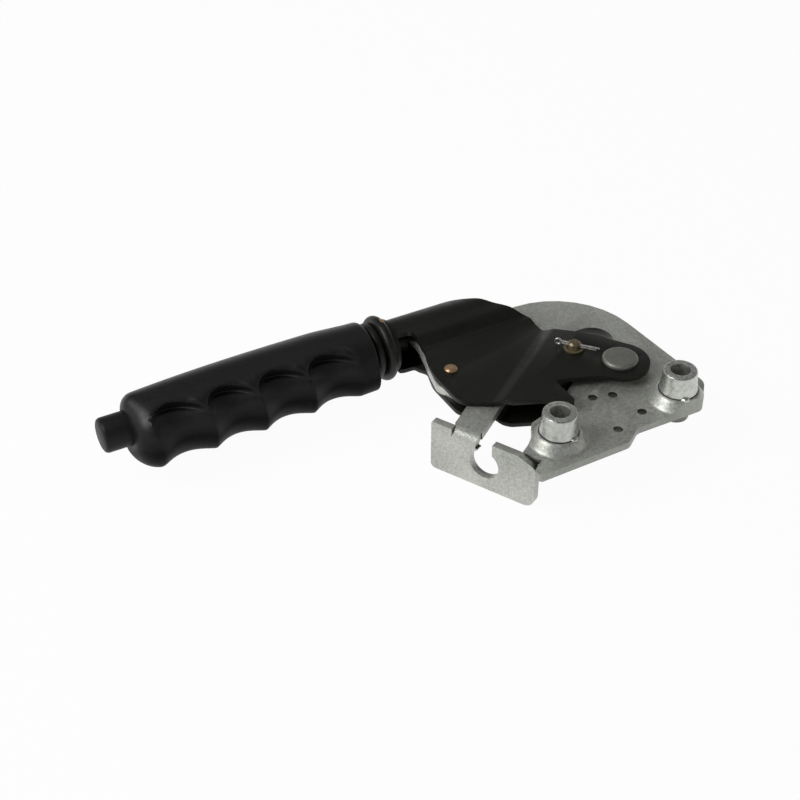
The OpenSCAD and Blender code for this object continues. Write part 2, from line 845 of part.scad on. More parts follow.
pawl_slot = concat(
    [for (i = [0 : 24]) polar(slot_half, 180 + 7.5 * i)],
    [for (i = [0 : 24]) [0, slot_reach] + polar(slot_half, 7.5 * i)]
);
module pawl() {
    color(zinc) at_mid() translate([rivet.x, rivet.y, -pawl_t / 2])
        linear_extrude(pawl_t)
        difference() {
            polygon(rounded(pawl_corners));
            circle(d = rivet_d + 2 * run_fit);
            translate(arm_end) polygon(pawl_slot);
        }
}

// Release: button, push rod, fork and cross pin move together along the handle.
fork_front = 4.6;
fork_throat = 6.6;
rod_in_fork = 5;
rod_left = -grip_left + 6;
button_left = -grip_left - button_out;
button_in = 14;
button_right = -grip_left + button_in;
module release_button() {
    color(black_plastic) at_mid() along_handle()
        difference() {
            rotate_extrude()
                polygon([
                    [0, button_left], [button_r - 1.6, button_left],
                    [button_r - 0.5, button_left + 0.5], [button_r, button_left + 1.6],
                    [button_r, button_right], [0, button_right]
                ]);
            translate([0, 0, rod_left]) cylinder(r = rod_d / 2 + seat_fit, h = 40);
        }
}

module push_rod() {
    rod_right = fork_z - fork_back + rod_in_fork;
    color(bright_steel) at_mid() along_handle()
        translate([0, 0, rod_left])
        cylinder(d = rod_d, h = rod_right - rod_left);
}

module rod_fork() {
    color(bright_steel) at_mid() along_handle()
        difference() {
            translate([0, 0, fork_z - fork_back]) cylinder(d = fork_d, h = fork_back + fork_front);
            translate([0, 0, fork_z - fork_back - 1])
                cylinder(r = rod_d / 2 + seat_fit, h = rod_in_fork + 1);
            translate([-cheek_gap / 2, -fork_d, fork_z - fork_throat])
                cube([cheek_gap, 2 * fork_d, 40]);
            translate([0, 0, fork_z])
                rotate([0, 90, 0])
                cylinder(r = fork_pin_d / 2 + seat_fit, h = 40, center = true);
        }
}

module fork_pin() {
    color(bright_steel) at_mid() translate(rivet + arm_end)
        cylinder(d = fork_pin_d, h = fork_d - 1, center = true);
}

// Return spring round the rod, between the button and its seat in the tube.
spring_turns = 7;
spring_r = 5;
spring_wire_r = 0.6;
spring_steps = 18;
spring_sides = 6;
module return_spring() {
    from = button_right + spring_wire_r;
    run = seat_left - spring_wire_r - from;
    rings = spring_turns * spring_steps;
    points = [for (i = [0 : rings], j = [0 : spring_sides - 1])
        let (
            turn = i * 360 / spring_steps,
            side = j * 360 / spring_sides,
            r = spring_r + spring_wire_r * cos(side)
        )
        [r * cos(turn), r * sin(turn), from + run * i / rings + spring_wire_r * sin(side)]];
    skin = [for (i = [0 : rings - 1], j = [0 : spring_sides - 1])
        let (
            a = i * spring_sides + j,
            b = i * spring_sides + (j + 1) % spring_sides
        )
        each [[a, b, b + spring_sides], [a, b + spring_sides, a + spring_sides]]];
    ends = [
        [for (j = [spring_sides - 1 : -1 : 0]) j],
        [for (j = [0 : spring_sides - 1]) rings * spring_sides + j]
    ];
    color(bright_steel) at_mid() along_handle()
        polyhedron(points, concat(skin, ends), convexity = 10);
}

base_plate();
left_bush();
right_bush();
pivot_rivet();
upper_spacer();
lower_spacer();
lever_channel();
handle_tube();
grip();
grip_collar();
lock_nut();
rod_guide();
spring_seat();
pawl_rivet();
cable_pin();
cable_pin_washer();
split_pin();
pawl();
release_button();
push_rod();
rod_fork();
fork_pin();
return_spring();
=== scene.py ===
import json
import math

import bmesh
import bpy
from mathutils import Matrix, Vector


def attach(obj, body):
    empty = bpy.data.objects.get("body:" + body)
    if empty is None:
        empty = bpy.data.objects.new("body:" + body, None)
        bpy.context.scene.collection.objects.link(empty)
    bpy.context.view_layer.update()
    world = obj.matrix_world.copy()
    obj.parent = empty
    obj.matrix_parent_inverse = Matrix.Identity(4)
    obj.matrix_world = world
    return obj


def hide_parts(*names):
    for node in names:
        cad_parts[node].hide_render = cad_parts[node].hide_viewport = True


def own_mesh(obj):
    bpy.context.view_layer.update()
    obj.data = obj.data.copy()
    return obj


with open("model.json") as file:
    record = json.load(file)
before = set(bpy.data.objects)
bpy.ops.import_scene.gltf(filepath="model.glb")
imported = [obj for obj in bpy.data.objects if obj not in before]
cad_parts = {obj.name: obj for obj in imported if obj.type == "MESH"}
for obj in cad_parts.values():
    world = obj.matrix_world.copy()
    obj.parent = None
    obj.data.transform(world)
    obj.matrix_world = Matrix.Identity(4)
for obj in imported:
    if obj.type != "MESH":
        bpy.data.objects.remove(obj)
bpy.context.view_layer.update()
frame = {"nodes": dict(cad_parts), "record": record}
nodes = frame["nodes"]
behaviour = frame["record"]["behaviour"]
body_of_node = {n: b for b, members in behaviour["bodies"].items() for n in members}
slot_of_node = {s["node"]: s["material_slot"] for s in frame["record"]["subparts"]}

# Places in the row frame, in millimetres: handle axis, plate middle plane, floor, lever pivot.
MM = 0.001
HANDLE_Y = 93.6
MID_Z = -16.7
FLOOR_Z = -39.5
PIVOT = Vector((19.5, 28.0))


# ---------------------------------------------------------------- shader nodes

def srgb(r, g, b):
    """A linear colour from 0 to 255 screen values."""
    def channel(c):
        c /= 255.0
        return c / 12.92 if c <= 0.04045 else ((c + 0.055) / 1.055) ** 2.4
    return (channel(r), channel(g), channel(b), 1.0)


def fresh_tree(block):
    """An empty node tree in a material or a world."""
    block.use_nodes = True
    block.node_tree.nodes.clear()
    return block.node_tree


def add_node(tree, kind, inputs=None, **settings):
    """A shader node. Each input is linked if it is given a socket, and set if given a value."""
    made = tree.nodes.new("ShaderNode" + kind)
    for key, value in settings.items():
        setattr(made, key, value)
    for key, value in (inputs or {}).items():
        if isinstance(value, bpy.types.NodeSocket):
            tree.links.new(value, made.inputs[key])
        else:
            made.inputs[key].default_value = value
    return made


def maths(tree, operation, *values):
    return add_node(tree, "Math", dict(enumerate(values)), operation=operation).outputs[0]


def distance(tree, place, point):
    return add_node(tree, "VectorMath", {0: place, 1: point},
                    operation="DISTANCE").outputs["Value"]


def along(tree, vector, axis):
    return add_node(tree, "SeparateXYZ", {"Vector": vector}).outputs[axis]


def colour_mix(tree, factor, a, b):
    return add_node(tree, "Mix", {"Factor": factor, "A": a, "B": b},
                    data_type="RGBA").outputs["Result"]


def ramp_between(tree, value, low, high, at_low, at_high, curve="LINEAR"):
    """Takes value from at_low to at_high between low and high."""
    return add_node(tree, "MapRange", {"Value": value, "From Min": low, "From Max": high,
                                       "To Min": at_low, "To Max": at_high},
                    interpolation_type=curve).outputs["Result"]


# ---------------------------------------------------------------- finishes

# A broad drift of tone lies under a fine grain, which also drives roughness and bump.
BROAD_SCALE, BROAD_DETAIL = 38.0, 1.0
FINE_DETAIL, FINE_ROUGHNESS = 5.0, 0.6
FINE_SHARE = 0.65
DARK_AT, LIGHT_AT = 0.32, 0.68
SMOOTH_AT, ROUGH_AT = 0.3, 0.7
BUMP_DEPTH = 0.3 * MM

# Painted shade in recesses: how far a recess is felt, and the openness at which the shade is full
# and at which it ends.
RECESS_REACH = 4.0 * MM
RECESS_FULL, RECESS_NONE = 0.55, 0.92
RECESS_SHADE_TONE = srgb(34, 35, 31)

# Upward part of the normal where the specular level of an underside is reached and where it ends.
UNDERSIDE, TOPSIDE = -0.1, 0.65


def finish_material(name, dark, light, metallic, rough, grain, bump, specular=0.5, recess_shade=0.0,
                    under=None):
    """A surface whose tone and roughness wander with grain.

    Its recesses are darkened by painted shade, and under is its specular level on faces that look
    down.
    """
    mat = bpy.data.materials.new(name)
    tree = fresh_tree(mat)
    coords = add_node(tree, "TexCoord").outputs
    broad = add_node(tree, "TexNoise", {"Vector": coords["Object"], "Scale": BROAD_SCALE,
                                        "Detail": BROAD_DETAIL}).outputs["Fac"]
    fine = add_node(tree, "TexNoise", {"Vector": coords["Object"], "Scale": grain,
                                       "Detail": FINE_DETAIL,
                                       "Roughness": FINE_ROUGHNESS}).outputs["Fac"]

    drift = add_node(tree, "Mix", {"Factor": FINE_SHARE, "A": broad, "B": fine},
                     data_type="FLOAT").outputs["Result"]
    tones = add_node(tree, "ValToRGB", {"Fac": drift})
    ends = tones.color_ramp.elements
    ends[0].position, ends[0].color = DARK_AT, dark
    ends[1].position, ends[1].color = LIGHT_AT, light
    colour = tones.outputs["Color"]
    # Painted shade: ambient occlusion darkens the colour in recesses.
    if recess_shade:
        recess = add_node(tree, "AmbientOcclusion", {"Distance": RECESS_REACH}, only_local=True)
        recess_shading = ramp_between(tree, recess.outputs["AO"], RECESS_FULL, RECESS_NONE, recess_shade, 0.0)
        colour = colour_mix(tree, recess_shading, colour, RECESS_SHADE_TONE)
    if under is not None:
        specular = ramp_between(tree, along(tree, coords["Normal"], "Z"), UNDERSIDE, TOPSIDE,
                                under, specular)

    bumps = add_node(tree, "Bump", {"Height": fine, "Strength": bump, "Distance": BUMP_DEPTH})
    bsdf = add_node(tree, "BsdfPrincipled", {
        "Base Color": colour,
        "Metallic": metallic,
        "Roughness": ramp_between(tree, fine, SMOOTH_AT, ROUGH_AT, *rough),
        "Specular IOR Level": specular,
        "Normal": bumps.outputs["Normal"],
    })
    add_node(tree, "OutputMaterial", {"Surface": bsdf.outputs["BSDF"]})
    return mat


# Slot: dark and light tone, metallic, roughness from and to, grain, bump, and what else differs,
# such as painted shade in recesses.
FINISHES = {
    "zinc_plate": ((148, 150, 144), (206, 208, 200), 0.65, (0.33, 0.5), 900.0, 0.3,
                   {"recess_shade": 0.9}),
    "zinc_bush": ((160, 162, 158), (216, 218, 212), 0.85, (0.24, 0.4), 560.0, 0.2,
                  {"recess_shade": 0.9}),
    "steel_head": ((118, 119, 112), (144, 145, 137), 0.6, (0.4, 0.55), 500.0, 0.12, {}),
    "bare_steel": ((165, 165, 160), (200, 200, 196), 0.9, (0.22, 0.38), 600.0, 0.08, {}),
    "black_paint": ((11, 11, 7), (21, 21, 15), 0.0, (0.38, 0.52), 300.0, 0.06,
                    {"specular": 0.33}),
    "black_grip": ((18, 18, 19), (27, 27, 28), 0.0, (0.34, 0.44), 420.0, 0.06,
                   {"specular": 0.28, "under": 0.02}),
    "brass_rivet": ((168, 138, 104), (206, 178, 140), 0.8, (0.3, 0.45), 500.0, 0.1, {}),
    "yellow_zinc": ((92, 88, 66), (142, 128, 102), 0.7, (0.3, 0.5), 400.0, 0.12,
                    {"recess_shade": 0.6}),
    "pawl_steel": ((186, 188, 181), (212, 213, 206), 0.6, (0.35, 0.5), 500.0, 0.12, {}),
    "black_button": ((16, 16, 17), (24, 24, 25), 0.0, (0.42, 0.55), 420.0, 0.06,
                     {"specular": 0.2}),
}
MATERIALS = {slot: finish_material(slot, srgb(*dark), srgb(*light), *finish, **extras)
             for slot, (dark, light, *finish, extras) in FINISHES.items()}

# Painted shade on the plate's upright edges: the upward part of the normal where it is full and
# where it ends, and its share at the cable slot and elsewhere.
EDGE_FULL, EDGE_NONE = 0.1, 0.4
SLOT_SHARE, RIM_SHARE = 0.97, 0.3
EDGE_SHADE_TONE = srgb(48, 49, 45)

# Places that bound the painted shade: the direction that the anchor bracket faces, how far out
# its inner face is, where its front end is along Y, a radius about the pivot just outside the
# cable slot, and the plate's underside. Each shaded area fades out over its own length.
BRACKET_OUT = (-0.8788, -0.4772, 0.0)
BRACKET_INSIDE = 38.5 * MM
BRACKET_END = -10.8 * MM
BRACKET_FADE = 1.0 * MM
SLOT_WALL = 34.5 * MM
SLOT_FADE = 3.0 * MM
PLATE_UNDER = -18.4 * MM
TAIL_FADE = 0.2 * MM
TAIL_SHARE = 0.8
TAIL_SHADE_TONE = srgb(62, 63, 58)


def paint_shade_where(mat, factor, tone):
    """Lays painted shade, a darker tone, over a material's colour, by factor."""
    tree = mat.node_tree
    base = next(n for n in tree.nodes if n.type == "BSDF_PRINCIPLED").inputs["Base Color"]
    tree.links.new(colour_mix(tree, factor, base.links[0].from_socket, tone), base)


def paint_edge_shade(mat):
    """Painted shade on the plate's upright sheared edges, most of all on those of the cable slot.

    The anchor bracket's faces stay bright.
    """
    tree = mat.node_tree
    coords = add_node(tree, "TexCoord").outputs
    place = coords["Object"]
    outward = add_node(tree, "VectorMath", {0: place, 1: BRACKET_OUT},
                       operation="DOT_PRODUCT").outputs["Value"]
    off_bracket = maths(
        tree, "MAXIMUM",
        ramp_between(tree, outward, BRACKET_INSIDE - BRACKET_FADE, BRACKET_INSIDE, 1.0, 0.0),
        ramp_between(tree, along(tree, place, "Y"), BRACKET_END - BRACKET_FADE, BRACKET_END,
                     1.0, 0.0))
    slope = maths(tree, "ABSOLUTE", along(tree, coords["Normal"], "Z"))
    upright = maths(tree, "MULTIPLY",
                    ramp_between(tree, slope, EDGE_FULL, EDGE_NONE, 1.0, 0.0), off_bracket)
    level = add_node(tree, "VectorMath", {0: place, 1: (1.0, 1.0, 0.0)},
                     operation="MULTIPLY").outputs["Vector"]
    from_pivot = distance(tree, level, (PIVOT.x * MM, PIVOT.y * MM, 0.0))
    share = ramp_between(tree, from_pivot, SLOT_WALL, SLOT_WALL + SLOT_FADE,
                         SLOT_SHARE, RIM_SHARE)
    paint_shade_where(mat, maths(tree, "MULTIPLY", upright, share), EDGE_SHADE_TONE)


def paint_tail_shade(mat):
    """Painted shade on the bushes' staked tails under the plate."""
    tree = mat.node_tree
    height = along(tree, add_node(tree, "TexCoord").outputs["Object"], "Z")
    paint_shade_where(mat, ramp_between(tree, height, PLATE_UNDER - TAIL_FADE, PLATE_UNDER,
                                 TAIL_SHARE, 0.0), TAIL_SHADE_TONE)


# Painted shade on the plate's upright edges.
paint_edge_shade(MATERIALS["zinc_plate"])
# Painted shade on the bushes' tails under the plate.
paint_tail_shade(MATERIALS["zinc_bush"])


# ---------------------------------------------------------------- pieces

# CAD copies: welding and cutting distance in metres, angle up to which faces count as flat, angle
# from which an edge is broken, and the form and steps of its round. Then the angles from which an
# edge stays sharp in shading.
WELD, CUT = 2e-6, 1e-7
FLAT_ANGLE, BREAK_ANGLE = math.radians(0.6), math.radians(30)
ROUND_PROFILE, ROUND_STEPS = 0.6, 2
COPY_SHARP, SKIN_SHARP = math.radians(34), math.radians(40)


def smooth_step(a, b, x):
    t = min(1.0, max(0.0, (x - a) / (b - a)))
    return t * t * (3 - 2 * t)


def bell(x):
    return math.exp(-x * x)


def full_turn(count):
    return [2 * math.pi * i / count for i in range(count)]


def dress(obj, slot):
    obj.data.materials.clear()
    obj.data.materials.append(MATERIALS[slot])


def add_piece(name, mesh, body, slot, *stands_for):
    obj = bpy.data.objects.new(name, mesh)
    bpy.context.scene.collection.objects.link(obj)
    dress(obj, slot)
    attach(obj, body)
    if stands_for:
        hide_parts(*stands_for)
    return obj


def shaded_mesh(bm, name, sharp_angle):
    bmesh.ops.recalc_face_normals(bm, faces=bm.faces)
    mesh = bpy.data.meshes.new(name)
    bm.to_mesh(mesh)
    bm.free()
    mesh.shade_smooth()
    mesh.set_sharp_from_angle(angle=sharp_angle)
    return mesh


def soft_edges(node, width, shape=None):
    """A copy of a CAD node with its sharp edges broken by a small round, in its place."""
    bm = bmesh.new()
    bm.from_mesh(nodes[node].data)
    bmesh.ops.remove_doubles(bm, verts=bm.verts, dist=WELD)
    bmesh.ops.dissolve_limit(bm, angle_limit=FLAT_ANGLE, verts=bm.verts, edges=bm.edges)
    if shape:
        shape(bm)
    sharp = [e for e in bm.edges
             if len(e.link_faces) == 2 and e.calc_face_angle(0.0) > BREAK_ANGLE]
    bmesh.ops.bevel(bm, geom=sharp, offset=width * MM, offset_type="OFFSET",
                    segments=ROUND_STEPS, profile=ROUND_PROFILE, affect="EDGES",
                    clamp_overlap=True, loop_slide=True)
    name = node + "_edged"
    return add_piece(name, shaded_mesh(bm, name, COPY_SHARP), body_of_node[node],
                     slot_of_node[node], node)


def grid_mesh(name, rings, loop=False):
    """A closed skin over rings of points, in millimetres: capped, or joined last to first."""
    bm = bmesh.new()
    rows = [[bm.verts.new(Vector(p) * MM) for p in ring] for ring in rings]
    n = len(rows[0])
    for a, b in zip(rows, rows[1:] + rows[:1] if loop else rows[1:]):
        for i in range(n):
            j = (i + 1) % n
            bm.faces.new((a[i], a[j], b[j], b[i]))
    if not loop:
        bm.faces.new(list(reversed(rows[0])))
        bm.faces.new(rows[-1])
    return shaded_mesh(bm, name, SKIN_SHARP)


# ---------------------------------------------------------------- grip

# A barrelled back, a finger side that is moved out, and four finger hollows under arched brows.
# Lengths run along X. Angles run about the handle axis, up from the finger side.
GRIP_LEFT, GRIP_RIGHT = -183.1, -70.5
GRIP_SPAN = GRIP_RIGHT - GRIP_LEFT
RIDGES = [-175.4, -150.9, -127.7, -104.5, -81.4]
RIDGE_R, RIDGE_GROWTH = 15.8, 2.6
RIDGE_LEAN, LEAN_ANGLE = 2.2, math.radians(60)
FINGER_SHIFT = 3.0
SIDE_FLAT = 0.4

# Back: where its barrel starts, what its two ends leave out, its radius, the taper to the left
# and the waist at the right.
BACK_START, BACK_ENDS = 6.0, 8.6
BACK_R = 15.8
TAPER, TAPER_POWER = 3.9, 3.2
WAIST, WAIST_FROM = 1.4, 0.78

# Hollows: depth, form along the finger, and the fade toward the underside.
HOLLOW = 4.3
HOLLOW_SKEW, HOLLOW_POWER = 0.92, 1.25
FADE_FROM, FADE_TO = math.radians(20), math.radians(95)

# Brows: height and arch, the wall under them, the groove at its foot and the swell above.
BROW_LOW, BROW_RISE, BROW_SKEW = math.radians(33), math.radians(22), 0.75
WALL_FOOT, WALL_HEAD = math.radians(4), math.radians(3)
GROOVE, GROOVE_BELOW, GROOVE_WIDTH = 1.1, math.radians(6), math.radians(4)
SWELL, SWELL_LEFT, SWELL_LENGTH = 1.4, 2.0, 3.2
SWELL_ABOVE, SWELL_WIDTH = math.radians(9), math.radians(10)

# Ends: the rounds and what the finger side adds to them, the range of the cosine over which the
# finger side begins, and the slanted right end.
LEFT_ROUND, LEFT_ADDED = 6.0, 5.5
RIGHT_ROUND, RIGHT_ADDED = 3.0, -2.0
FINGER_FROM, FINGER_TO = -0.3, 0.8
SLANT, SLANT_TURN, SLANT_REACH = 2.0, 0.3, 14.0

# Bore: radii round the button, the tube, the neck and at the mouth, with its depth, and the play
# in front of the tube and the neck.
BUTTON_BORE, TUBE_BORE, NECK_BORE, MOUTH_BORE = 7.9, 9.0, 11.1, 11.4
MOUTH_DEPTH = 1.0
SEAT_PLAY = 0.1

# Rings: the length of the finer left end, the step along the middle, where the middle stops, the
# length of the finer right end, the points around and those added across the brows.
LEFT_FINE, STEP, STEP_STOP, RIGHT_FINE = 13.0, 0.7, 3.0, 2.6
AROUND = 144
BROW_FIRST, BROW_STEP, BROW_POINTS = 11.25, 2.5, 26


def hollow_at(x):
    """Depth share of the hollow at x, and how far up the side its brow stands."""
    for a, b in zip(RIDGES, RIDGES[1:]):
        if a <= x <= b:
            u = (x - a) / (b - a)
            share = math.sin(math.pi * u ** HOLLOW_SKEW) ** HOLLOW_POWER
            return share, BROW_LOW + BROW_RISE * math.sin(math.pi * u ** BROW_SKEW)
    return 0.0, BROW_LOW


def back_radius(x):
    u = min(1.0, max(0.0, (x - GRIP_LEFT - BACK_START) / (GRIP_SPAN - BACK_ENDS)))
    return BACK_R - TAPER * (1 - u) ** TAPER_POWER - WAIST * smooth_step(WAIST_FROM, 1.0, u)


def body_radius(x, phi):
    """The grip without hollows: round below, and flattened toward the back above."""
    ridge = RIDGE_R + RIDGE_GROWTH * (RIDGES[-1] - x) / (RIDGES[-1] - RIDGES[0])
    back = back_radius(x)
    c, s = math.cos(phi), math.sin(phi)
    if phi < 0 < c:
        return FINGER_SHIFT * c + math.sqrt(ridge ** 2 - (FINGER_SHIFT * s) ** 2)
    side = 0.5 * (back + ridge) - SIDE_FLAT
    if phi < 0:
        side = math.sqrt(ridge ** 2 - FINGER_SHIFT ** 2)
    end = FINGER_SHIFT + ridge if c > 0 else back
    return side + (end - side) * c * c


def grip_radius(x, phi):
    base = body_radius(x, phi)
    x += RIDGE_LEAN * phi / LEAN_ANGLE
    share, brow = hollow_at(x)
    if phi < 0:
        return base - HOLLOW * share * (1 - smooth_step(FADE_FROM, FADE_TO, -phi))
    wall = smooth_step(brow - WALL_FOOT, brow + WALL_HEAD, phi)
    groove = GROOVE * math.sqrt(share) * bell((phi - brow + GROOVE_BELOW) / GROOVE_WIDTH)
    swell = (SWELL * sum(bell((x - r + SWELL_LEFT) / SWELL_LENGTH) for r in RIDGES[1:])
             * bell((phi - brow - SWELL_ABOVE) / SWELL_WIDTH))
    return base - HOLLOW * share * (1 - wall) - groove + swell


def round_inset(radius, depth):
    """How far a rounded end lies below the body, at a depth from the end."""
    if depth >= radius:
        return 0.0
    return radius - math.sqrt(max(0.0, radius ** 2 - (radius - depth) ** 2))


def about_handle(x, r, phi):
    return (x, HANDLE_Y - r * math.cos(phi), MID_Z + r * math.sin(phi))


def grip_point(d, phi):
    """The grip's surface at a distance from its left end."""
    finger = smooth_step(FINGER_FROM, FINGER_TO, math.cos(phi))
    inset = (round_inset(LEFT_ROUND + LEFT_ADDED * finger, d)
             + round_inset(RIGHT_ROUND + RIGHT_ADDED * finger, GRIP_SPAN - d))
    slant = (SLANT * max(0.0, math.cos(phi - SLANT_TURN)) ** 2
             * smooth_step(GRIP_SPAN - SLANT_REACH, GRIP_SPAN, d))
    x = GRIP_LEFT + d
    return about_handle(x - slant, grip_radius(x, phi) - inset, phi)


def ring_steps():
    """Distances of the grip's rings from its left end, closer together at both ends."""
    steps = [LEFT_FINE * (1 - math.cos(math.radians(a))) for a in range(0, 90, 6)]
    d = LEFT_FINE
    while d < GRIP_SPAN - STEP_STOP:
        steps.append(d)
        d += STEP
    return steps + [GRIP_SPAN - RIGHT_FINE * (1 - math.sin(math.radians(a)))
                    for a in range(0, 91, 15)]


def left_end(node):
    return min(v.co.x for v in nodes[node].data.vertices) / MM


def grip_rings():
    """The outside, then a bore that steps up from the button to the tube and to the neck."""
    angles = sorted([a - math.pi for a in full_turn(AROUND)]
                    + [math.radians(BROW_FIRST + BROW_STEP * i) for i in range(BROW_POINTS)])

    def bore(x, r):
        return [about_handle(x, r, phi) for phi in angles]

    tube_left = left_end("handle_tube") - SEAT_PLAY
    neck_left = left_end("lever_channel") - SEAT_PLAY
    return [
        bore(tube_left, TUBE_BORE), bore(tube_left, BUTTON_BORE), bore(GRIP_LEFT, BUTTON_BORE),
        *([grip_point(d, phi) for phi in angles] for d in ring_steps()),
        bore(GRIP_RIGHT - MOUTH_DEPTH, MOUTH_BORE),
        bore(neck_left, NECK_BORE), bore(neck_left, TUBE_BORE),
    ]


add_piece("grip_skin", grid_mesh("grip_skin", grip_rings(), loop=True), "lever", "black_grip",
          "grip")


# ---------------------------------------------------------------- CAD copies

# Lever: a wide soft joggle across the cheeks. Distances from the pivot across the joggle, the CAD
# sheet's own step, and the height of its skin over the mid plane above and below that step.
ACROSS = Vector((-math.sin(math.radians(36.5)), math.cos(math.radians(36.5))))
JOGGLE_FROM, JOGGLE_TO = 33.8, 41.3
CAD_STEP_FROM, CAD_STEP_LENGTH = 37.3, 3.0
ARM_Z, CHEEK_Z = 6.9, 4.1
JOGGLE_CUTS = 10
BELOW_BACK = 20.0
SKIN_SLACK, STEP_SLACK = 0.05, 0.15

# Lever: a round shoulder along the back's lower side. Distances below the handle axis, and how
# far the sheet comes out between them.
SHOULDER = ((4.0, 10.5, 1.1), (10.5, 15.8, -1.75), (15.8, 18.6, 0.65))
SHOULDER_TOP, SHOULDER_FOOT = SHOULDER[0][0], SHOULDER[-1][1]
SHOULDER_CUTS = 16
INNER_HALF = 2.9

# How wide the broken edges are, in millimetres.
EDGE_WIDTHS = {
    "base_plate": 0.35, "pawl": 0.3, "left_bush": 0.4, "right_bush": 0.4, "pivot_rivet": 0.2,
    "grip_collar": 0.2, "lock_nut": 0.4, "pawl_rivet": 0.25, "cable_pin": 0.2,
    "cable_pin_washer": 0.15, "release_button": 0.3, "rod_fork": 0.3, "push_rod": 0.2,
}
LEVER_EDGE = 0.3


def cut_at(bm, co, normal):
    bmesh.ops.bisect_plane(bm, geom=bm.verts[:] + bm.edges[:] + bm.faces[:], dist=CUT,
                           plane_co=co, plane_no=normal)


def cad_skin_height(far):
    """Height of the CAD sheet's skin over the mid plane, at a distance across the joggle."""
    if far < CAD_STEP_FROM:
        return ARM_Z
    return ARM_Z - (ARM_Z - CHEEK_Z) * min(1, (far - CAD_STEP_FROM) / CAD_STEP_LENGTH)


def press_lever(bm):
    for i in range(JOGGLE_CUTS + 1):
        at = PIVOT + ACROSS * (JOGGLE_FROM + (JOGGLE_TO - JOGGLE_FROM) * i / JOGGLE_CUTS)
        cut_at(bm, Vector((at.x, at.y, 0)) * MM, Vector((ACROSS.x, ACROSS.y, 0)))
    for i in range(SHOULDER_CUTS):
        cut_at(bm, Vector((0, (HANDLE_Y - SHOULDER_TOP - i) * MM, 0)), Vector((0, 1, 0)))
    for v in bm.verts:
        place = v.co / MM
        out = place.z - MID_Z
        sign = 1 if out > 0 else -1
        far = (place.xy - PIVOT).dot(ACROSS)
        low = HANDLE_Y - place.y
        on_cheek = low > BELOW_BACK and abs(out) > CHEEK_Z - SKIN_SLACK
        if JOGGLE_FROM < far < JOGGLE_TO and on_cheek:
            if abs(abs(out) - cad_skin_height(far)) < STEP_SLACK:
                rise = smooth_step(JOGGLE_FROM, JOGGLE_TO, JOGGLE_FROM + JOGGLE_TO - far)
                v.co.z = (MID_Z + sign * (CHEEK_Z + (ARM_Z - CHEEK_Z) * rise)) * MM
        elif SHOULDER_TOP < low < SHOULDER_FOOT and abs(out) > INNER_HALF:
            lift = sum(step * smooth_step(a, b, low) for a, b, step in SHOULDER)
            v.co.z += sign * lift * MM


soft_edges("lever_channel", LEVER_EDGE, press_lever)
for node, width in EDGE_WIDTHS.items():
    soft_edges(node, width)

# Return spring: it stands on its seat in the tube.
spring_mesh = nodes["return_spring"].data.copy()
spring_mesh.shade_smooth()
spring = add_piece("return_spring_coil", spring_mesh, "lever", slot_of_node["return_spring"],
                   "return_spring")
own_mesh(spring)

# The CAD nodes that are shown as they are.
for node in nodes:
    if not nodes[node].hide_render:
        dress(nodes[node], slot_of_node[node])


# ---------------------------------------------------------------- small marks

# Bushes: painted shade, a dark ring in black paint along the joint where each bush meets its
# dome, and a bead where the staking burst out.
BUSHES = (("left", -30.0, math.radians(-74)), ("right", 30.0, math.radians(-104)))
SEAM_R, SEAM_Z, SEAM_HALF = 8.3, -9.95, 0.24
BEAD_RADII = (2.0, 1.3, 1.1)

# Copper-coloured rub mark on the top of the lock nut's bead.
RUB_X, RUB_UP = -62.9, 14.2
RUB_RADII = (1.5, 1.9, 0.8)

# Lumps of a bead: three broad ones that lean with its height, and five small ones.
BROAD_LUMP, SMALL_LUMP = 0.12, 0.06


def ring_about(centre, major, minor, turns=72, around=10):
    """Rings of a closed torus that lies flat about centre."""
    return [[(centre[0] + (major + minor * math.cos(b)) * math.cos(a),
              centre[1] + (major + minor * math.cos(b)) * math.sin(a),
              centre[2] + minor * math.sin(b)) for b in full_turn(around)]
            for a in full_turn(turns)]


def bead_rings(centre, radii, around=20):
    """Rings of a lumpy bead, from below to above."""
    def point(t, b):
        swell = 1 + BROAD_LUMP * math.sin(3 * b + 2 * t) + SMALL_LUMP * math.sin(5 * b)
        return (centre[0] + radii[0] * math.cos(t) * math.cos(b) * swell,
                centre[1] + radii[1] * math.cos(t) * math.sin(b) * swell,
                centre[2] + radii[2] * math.sin(t))
    return [[point(math.radians(lat), b) for b in full_turn(around)]
            for lat in range(-80, 81, 16)]


for side, x, bead_angle in BUSHES:
    # The ring is painted shade along the crevice at the bush's foot.
    joint_shade = ring_about((x, 0, SEAM_Z), SEAM_R, SEAM_HALF)
    add_piece(side + "_seam", grid_mesh(side + "_seam", joint_shade, loop=True), "base", "black_paint")
    bead_at = (x + SEAM_R * math.cos(bead_angle), SEAM_R * math.sin(bead_angle), SEAM_Z)
    add_piece(side + "_bead", grid_mesh(side + "_bead", bead_rings(bead_at, BEAD_RADII)), "base",
              "zinc_bush")
rub = bead_rings((RUB_X, HANDLE_Y, MID_Z + RUB_UP), RUB_RADII)
add_piece("nut_rub", grid_mesh("nut_rub", rub), "lever", "brass_rivet")


# ---------------------------------------------------------------- studio

# Floor: half its width in metres, its tones, and how much of it is plain white in view, which
# leaves a trace of the object's shadow. The patch that shows through the cable slot is a painted
# shadow, dark; its place and its inner and outer radius are in metres too.
FLOOR_REACH = 6.0
WHITE = (1, 1, 1, 1)
PALE, SHADED = (0.86, 0.86, 0.86, 1), (0.1, 0.1, 0.1, 1)
WHITE_SHARE = 0.96
UNDER_SLOT = (0.0473, 0.0812, FLOOR_Z * MM)
PATCH_R, PATCH_EDGE = 7.8 * MM, 11.5 * MM

